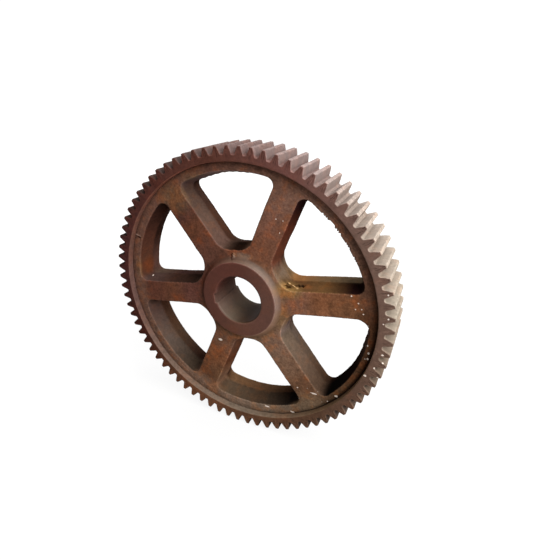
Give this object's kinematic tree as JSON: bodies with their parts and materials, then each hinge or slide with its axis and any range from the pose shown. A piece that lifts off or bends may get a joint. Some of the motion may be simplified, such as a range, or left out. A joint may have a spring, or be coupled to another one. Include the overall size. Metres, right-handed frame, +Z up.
{
  "type": "spur gear",
  "caption": "Spoked spur gear: a toothed ring on a cast wheel centre, with drafted arms, a hub and a keyed plain bore.",
  "frame": {"origin": "on the gear's axis, half way through the face width", "axes": "Y is the gear's axis and the front face looks toward -Y; +Z is up, with the gear standing on its teeth; +X is to the right seen from the front"},
  "size_m": [0.4, 0.06, 0.4],
  "materials": {
    "machined_iron": "machined faces and cut teeth, dulled by an even dark purple-brown rust",
    "cast_iron": "sand-cast skin with mottled orange-brown rust"
  },
  "bodies": {
    "root": {"toothed_ring": "machined_iron", "wheel_centre": "cast_iron"}
  },
  "joints": []
}
